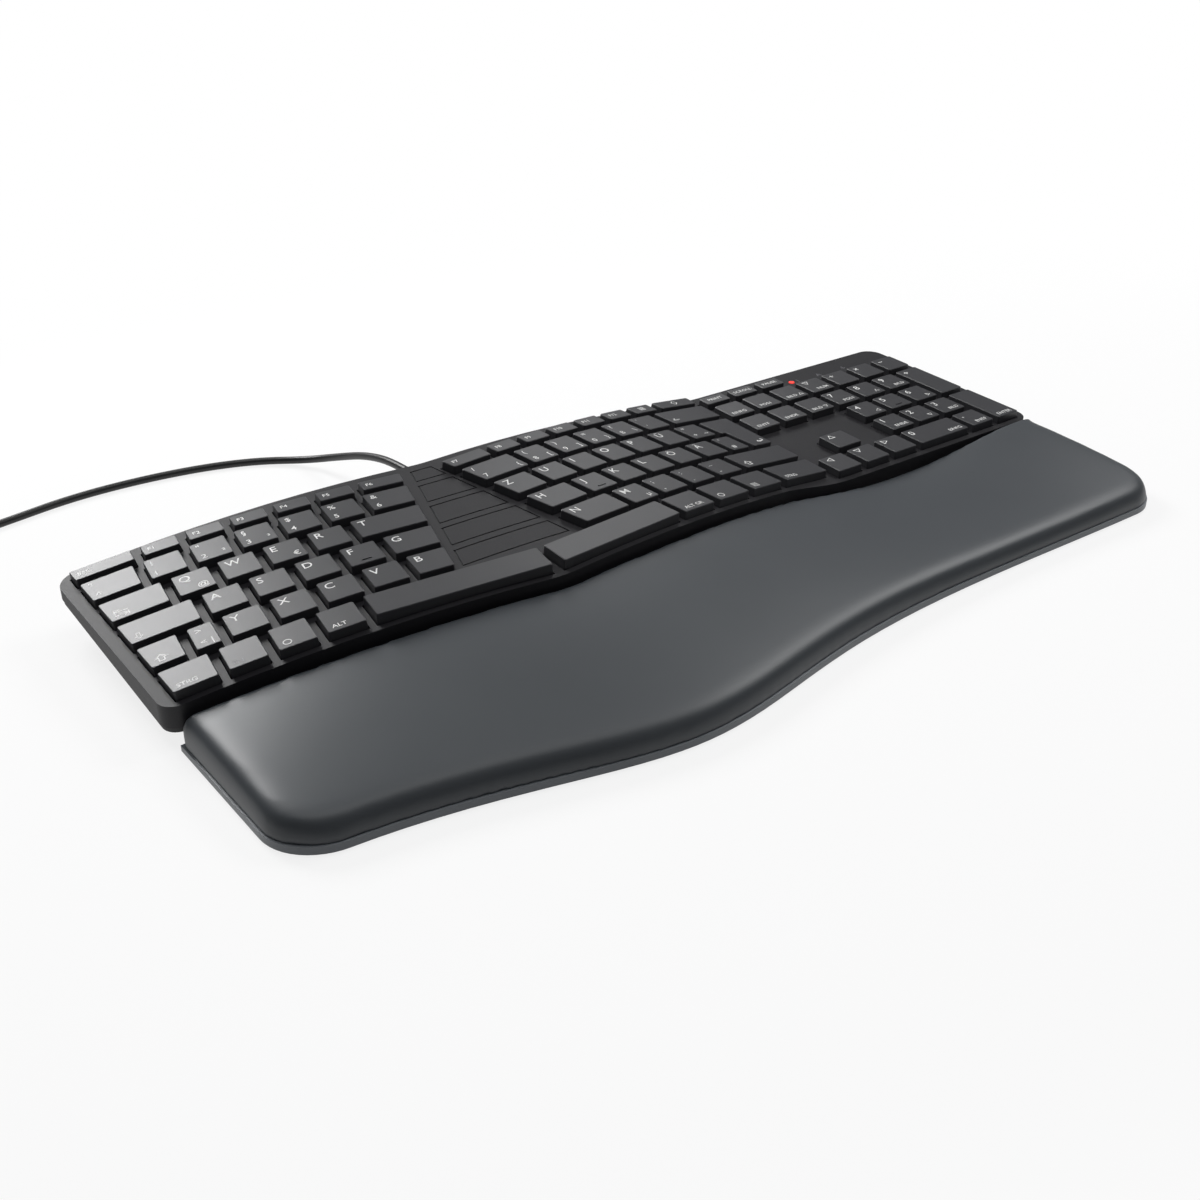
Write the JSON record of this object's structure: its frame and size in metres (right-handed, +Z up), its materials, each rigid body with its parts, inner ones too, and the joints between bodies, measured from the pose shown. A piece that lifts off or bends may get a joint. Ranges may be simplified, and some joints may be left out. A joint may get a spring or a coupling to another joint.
{
  "type": "ergonomic keyboard",
  "caption": "Full-size keyboard with a split, arched key field, a number block on the right and a padded palm rest along its front.",
  "frame": {"origin": "on the desk, under the middle of the keyboard's outline without its cable", "axes": "+X to the user's right along the keyboard's length, +Y away from the user, +Z up"},
  "size_m": [0.5486, 0.3448, 0.0399],
  "materials": {
    "keycap": "fine matt texture",
    "cover": "fine matt texture",
    "case_underside": "matt",
    "lens": "clear red",
    "inner_plastic": "moulded",
    "silicone": "translucent white",
    "film": "printed film",
    "steel_plate": "zinc plated",
    "screw_steel": "zinc plated",
    "foot_rubber": "matt",
    "pad_skin": "smooth soft-touch skin over foam",
    "rest_rim": "satin grey",
    "circuit_board": "green solder mask",
    "component_black": "moulded",
    "cable_rubber": "satin",
    "plug_plastic": "satin",
    "plug_metal": "nickel plated",
    "wire_steel": "drawn wire",
    "foot_plastic": "matt"
  },
  "bodies": {
    "case": {"top_cover": "cover", "indicator_lens": "lens", "key_guide_plate": "inner_plastic", "dome_sheet": "silicone", "membrane_top_sheet": "film", "membrane_spacer_sheet": "film", "membrane_bottom_sheet": "film", "backing_plate": "steel_plate", "bottom_case": "case_underside", "case_screws": "screw_steel", "rubber_feet": "foot_rubber", "palm_rest_pad": "pad_skin", "palm_rest_base": "rest_rim", "controller_board": "circuit_board", "board_components": "component_black", "cable_gland": "cable_rubber", "inner_lead": "cable_rubber", "cable": "cable_rubber", "cable_coil": "cable_rubber", "cable_tail": "cable_rubber", "usb_plug_body": "plug_plastic", "usb_plug_shell": "plug_metal"},
    "escape_key": {"escape_key": "keycap"},
    "function_keys_left": {"function_keys_left": "keycap"},
    "function_keys_right": {"function_keys_right": "keycap"},
    "system_keys": {"system_keys": "keycap"},
    "digit_keys_left": {"digit_keys_left": "keycap"},
    "digit_keys_right": {"digit_keys_right": "keycap"},
    "backspace_key": {"backspace_key": "keycap"},
    "tab_key": {"tab_key": "keycap"},
    "upper_letter_keys_left": {"upper_letter_keys_left": "keycap"},
    "upper_letter_keys_right": {"upper_letter_keys_right": "keycap"},
    "enter_key": {"enter_key": "keycap"},
    "caps_lock_key": {"caps_lock_key": "keycap"},
    "home_letter_keys_left": {"home_letter_keys_left": "keycap"},
    "home_letter_keys_right": {"home_letter_keys_right": "keycap"},
    "left_shift_key": {"left_shift_key": "keycap"},
    "lower_letter_keys_left": {"lower_letter_keys_left": "keycap"},
    "lower_letter_keys_right": {"lower_letter_keys_right": "keycap"},
    "right_shift_key": {"right_shift_key": "keycap"},
    "left_control_key": {"left_control_key": "keycap"},
    "modifier_keys_left": {"modifier_keys_left": "keycap"},
    "left_space_key": {"left_space_key": "keycap"},
    "right_space_key": {"right_space_key": "keycap"},
    "modifier_keys_right": {"modifier_keys_right": "keycap"},
    "right_control_key": {"right_control_key": "keycap"},
    "navigation_keys": {"navigation_keys": "keycap"},
    "arrow_up_key": {"arrow_up_key": "keycap"},
    "arrow_left_key": {"arrow_left_key": "keycap"},
    "arrow_down_key": {"arrow_down_key": "keycap"},
    "arrow_right_key": {"arrow_right_key": "keycap"},
    "number_block_keys": {"number_block_keys": "keycap"},
    "number_zero_key": {"number_zero_key": "keycap"},
    "number_operator_keys": {"number_operator_keys": "keycap"},
    "number_plus_key": {"number_plus_key": "keycap"},
    "number_enter_key": {"number_enter_key": "keycap"},
    "left_space_stabiliser": {"left_space_stabiliser": "wire_steel"},
    "right_space_stabiliser": {"right_space_stabiliser": "wire_steel"},
    "flip_foot_left": {"flip_foot_left": "foot_plastic"},
    "flip_foot_right": {"flip_foot_right": "foot_plastic"}
  },
  "joints": [
    {"name": "escape_key_press", "type": "slide", "parent": "case", "child": "escape_key", "axis": [0.1659, 0.0414, -0.9853], "range_m": [0, 0.0025], "stiffness_N_per_m": 120, "springref_m": -0.002, "deforming": ["dome_sheet"]},
    {"name": "function_keys_left_press", "type": "slide", "parent": "case", "child": "function_keys_left", "axis": [0.0829, 0.0418, -0.9957], "range_m": [0, 0.0025], "stiffness_N_per_m": 720, "springref_m": -0.002, "deforming": ["dome_sheet"]},
    {"name": "function_keys_right_press", "type": "slide", "parent": "case", "child": "function_keys_right", "axis": [-0.0945, 0.0418, -0.9947], "range_m": [0, 0.0025], "stiffness_N_per_m": 960, "springref_m": -0.002, "deforming": ["dome_sheet"]},
    {"name": "system_keys_press", "type": "slide", "parent": "case", "child": "system_keys", "axis": [0, 0.042, -0.9991], "range_m": [0, 0.0025], "stiffness_N_per_m": 360, "springref_m": -0.002, "deforming": ["dome_sheet"]},
    {"name": "digit_keys_left_press", "type": "slide", "parent": "case", "child": "digit_keys_left", "axis": [0.0994, 0.0418, -0.9942], "range_m": [0, 0.0025], "stiffness_N_per_m": 840, "springref_m": -0.002, "deforming": ["dome_sheet"]},
    {"name": "digit_keys_right_press", "type": "slide", "parent": "case", "child": "digit_keys_right", "axis": [-0.0831, 0.0418, -0.9957], "range_m": [0, 0.0025], "stiffness_N_per_m": 720, "springref_m": -0.002, "deforming": ["dome_sheet"]},
    {"name": "backspace_key_press", "type": "slide", "parent": "case", "child": "backspace_key", "axis": [-0.1622, 0.0414, -0.9859], "range_m": [0, 0.0025], "stiffness_N_per_m": 120, "springref_m": -0.002, "deforming": ["dome_sheet"]},
    {"name": "tab_key_press", "type": "slide", "parent": "case", "child": "tab_key", "axis": [0.1663, 0.0414, -0.9852], "range_m": [0, 0.0025], "stiffness_N_per_m": 120, "springref_m": -0.002, "deforming": ["dome_sheet"]},
    {"name": "upper_letter_keys_left_press", "type": "slide", "parent": "case", "child": "upper_letter_keys_left", "axis": [0.0935, 0.0418, -0.9947], "range_m": [0, 0.0025], "stiffness_N_per_m": 600, "springref_m": -0.002, "deforming": ["dome_sheet"]},
    {"name": "upper_letter_keys_right_press", "type": "slide", "parent": "case", "child": "upper_letter_keys_right", "axis": [-0.0896, 0.0418, -0.9951], "range_m": [0, 0.0025], "stiffness_N_per_m": 840, "springref_m": -0.002, "deforming": ["dome_sheet"]},
    {"name": "enter_key_press", "type": "slide", "parent": "case", "child": "enter_key", "axis": [-0.1592, 0.0414, -0.9864], "range_m": [0, 0.0025], "stiffness_N_per_m": 120, "springref_m": -0.002, "deforming": ["dome_sheet"]},
    {"name": "caps_lock_key_press", "type": "slide", "parent": "case", "child": "caps_lock_key", "axis": [0.1638, 0.0414, -0.9856], "range_m": [0, 0.0025], "stiffness_N_per_m": 120, "springref_m": -0.002, "deforming": ["dome_sheet"]},
    {"name": "home_letter_keys_left_press", "type": "slide", "parent": "case", "child": "home_letter_keys_left", "axis": [0.0897, 0.0418, -0.9951], "range_m": [0, 0.0025], "stiffness_N_per_m": 600, "springref_m": -0.002, "deforming": ["dome_sheet"]},
    {"name": "home_letter_keys_right_press", "type": "slide", "parent": "case", "child": "home_letter_keys_right", "axis": [-0.0981, 0.0418, -0.9943], "range_m": [0, 0.0025], "stiffness_N_per_m": 840, "springref_m": -0.002, "deforming": ["dome_sheet"]},
    {"name": "left_shift_key_press", "type": "slide", "parent": "case", "child": "left_shift_key", "axis": [0.172, 0.0413, -0.9842], "range_m": [0, 0.0025], "stiffness_N_per_m": 120, "springref_m": -0.002, "deforming": ["dome_sheet"]},
    {"name": "lower_letter_keys_left_press", "type": "slide", "parent": "case", "child": "lower_letter_keys_left", "axis": [0.1013, 0.0417, -0.994], "range_m": [0, 0.0025], "stiffness_N_per_m": 720, "springref_m": -0.002, "deforming": ["dome_sheet"]},
    {"name": "lower_letter_keys_right_press", "type": "slide", "parent": "case", "child": "lower_letter_keys_right", "axis": [-0.0875, 0.0418, -0.9953], "range_m": [0, 0.0025], "stiffness_N_per_m": 600, "springref_m": -0.002, "deforming": ["dome_sheet"]},
    {"name": "right_shift_key_press", "type": "slide", "parent": "case", "child": "right_shift_key", "axis": [-0.1596, 0.0414, -0.9863], "range_m": [0, 0.0025], "stiffness_N_per_m": 120, "springref_m": -0.002, "deforming": ["dome_sheet"]},
    {"name": "left_control_key_press", "type": "slide", "parent": "case", "child": "left_control_key", "axis": [0.1698, 0.0414, -0.9846], "range_m": [0, 0.0025], "stiffness_N_per_m": 120, "springref_m": -0.002, "deforming": ["dome_sheet"]},
    {"name": "modifier_keys_left_press", "type": "slide", "parent": "case", "child": "modifier_keys_left", "axis": [0.124, 0.0416, -0.9914], "range_m": [0, 0.0025], "stiffness_N_per_m": 360, "springref_m": -0.002, "deforming": ["dome_sheet"]},
    {"name": "left_space_key_press", "type": "slide", "parent": "case", "child": "left_space_key", "axis": [0.0453, 0.0419, -0.9981], "range_m": [0, 0.0025], "stiffness_N_per_m": 120, "springref_m": -0.002, "deforming": ["dome_sheet"]},
    {"name": "right_space_key_press", "type": "slide", "parent": "case", "child": "right_space_key", "axis": [-0.0374, 0.0419, -0.9984], "range_m": [0, 0.0025], "stiffness_N_per_m": 120, "springref_m": -0.002, "deforming": ["dome_sheet"]},
    {"name": "modifier_keys_right_press", "type": "slide", "parent": "case", "child": "modifier_keys_right", "axis": [-0.1096, 0.0417, -0.9931], "range_m": [0, 0.0025], "stiffness_N_per_m": 360, "springref_m": -0.002, "deforming": ["dome_sheet"]},
    {"name": "right_control_key_press", "type": "slide", "parent": "case", "child": "right_control_key", "axis": [-0.164, 0.0414, -0.9856], "range_m": [0, 0.0025], "stiffness_N_per_m": 120, "springref_m": -0.002, "deforming": ["dome_sheet"]},
    {"name": "navigation_keys_press", "type": "slide", "parent": "case", "child": "navigation_keys", "axis": [0, 0.042, -0.9991], "range_m": [0, 0.0025], "stiffness_N_per_m": 720, "springref_m": -0.002, "deforming": ["dome_sheet"]},
    {"name": "arrow_up_key_press", "type": "slide", "parent": "case", "child": "arrow_up_key", "axis": [0, 0.042, -0.9991], "range_m": [0, 0.0025], "stiffness_N_per_m": 120, "springref_m": -0.002, "deforming": ["dome_sheet"]},
    {"name": "arrow_left_key_press", "type": "slide", "parent": "case", "child": "arrow_left_key", "axis": [0, 0.042, -0.9991], "range_m": [0, 0.0025], "stiffness_N_per_m": 120, "springref_m": -0.002, "deforming": ["dome_sheet"]},
    {"name": "arrow_down_key_press", "type": "slide", "parent": "case", "child": "arrow_down_key", "axis": [0, 0.042, -0.9991], "range_m": [0, 0.0025], "stiffness_N_per_m": 120, "springref_m": -0.002, "deforming": ["dome_sheet"]},
    {"name": "arrow_right_key_press", "type": "slide", "parent": "case", "child": "arrow_right_key", "axis": [0, 0.042, -0.9991], "range_m": [0, 0.0025], "stiffness_N_per_m": 120, "springref_m": -0.002, "deforming": ["dome_sheet"]},
    {"name": "number_block_keys_press", "type": "slide", "parent": "case", "child": "number_block_keys", "axis": [0, 0.042, -0.9991], "range_m": [0, 0.0025], "stiffness_N_per_m": 1200, "springref_m": -0.002, "deforming": ["dome_sheet"]},
    {"name": "number_zero_key_press", "type": "slide", "parent": "case", "child": "number_zero_key", "axis": [0, 0.042, -0.9991], "range_m": [0, 0.0025], "stiffness_N_per_m": 120, "springref_m": -0.002, "deforming": ["dome_sheet"]},
    {"name": "number_operator_keys_press", "type": "slide", "parent": "case", "child": "number_operator_keys", "axis": [0, 0.042, -0.9991], "range_m": [0, 0.0025], "stiffness_N_per_m": 480, "springref_m": -0.002, "deforming": ["dome_sheet"]},
    {"name": "number_plus_key_press", "type": "slide", "parent": "case", "child": "number_plus_key", "axis": [0, 0.042, -0.9991], "range_m": [0, 0.0025], "stiffness_N_per_m": 120, "springref_m": -0.002, "deforming": ["dome_sheet"]},
    {"name": "number_enter_key_press", "type": "slide", "parent": "case", "child": "number_enter_key", "axis": [0, 0.042, -0.9991], "range_m": [0, 0.0025], "stiffness_N_per_m": 120, "springref_m": -0.002, "deforming": ["dome_sheet"]},
    {"name": "left_space_stabiliser_turn", "type": "hinge", "parent": "case", "child": "left_space_stabiliser", "pos_m": [-0.11625, -0.01118, 0.02661], "axis": [-0.989, 0.1425, -0.0389], "range_deg": [0, 28.03]},
    {"name": "right_space_stabiliser_turn", "type": "hinge", "parent": "case", "child": "right_space_stabiliser", "pos_m": [-0.04117, -0.01155, 0.02679], "axis": [-0.9893, -0.1426, 0.0311], "range_deg": [0, 28.03]},
    {"name": "flip_foot_left_fold", "type": "hinge", "parent": "case", "child": "flip_foot_left", "pos_m": [-0.18945, 0.082, 0.0037], "axis": [1, 0, 0], "range_deg": [0, 78]},
    {"name": "flip_foot_right_fold", "type": "hinge", "parent": "case", "child": "flip_foot_right", "pos_m": [0.18455, 0.082, 0.0037], "axis": [1, 0, 0], "range_deg": [0, 78]}
  ],
  "couplings": [
    {"joint": "left_space_stabiliser_turn", "follows": "left_space_key_press", "rad_per_m": 192.87},
    {"joint": "right_space_stabiliser_turn", "follows": "right_space_key_press", "rad_per_m": 192.87}
  ]
}
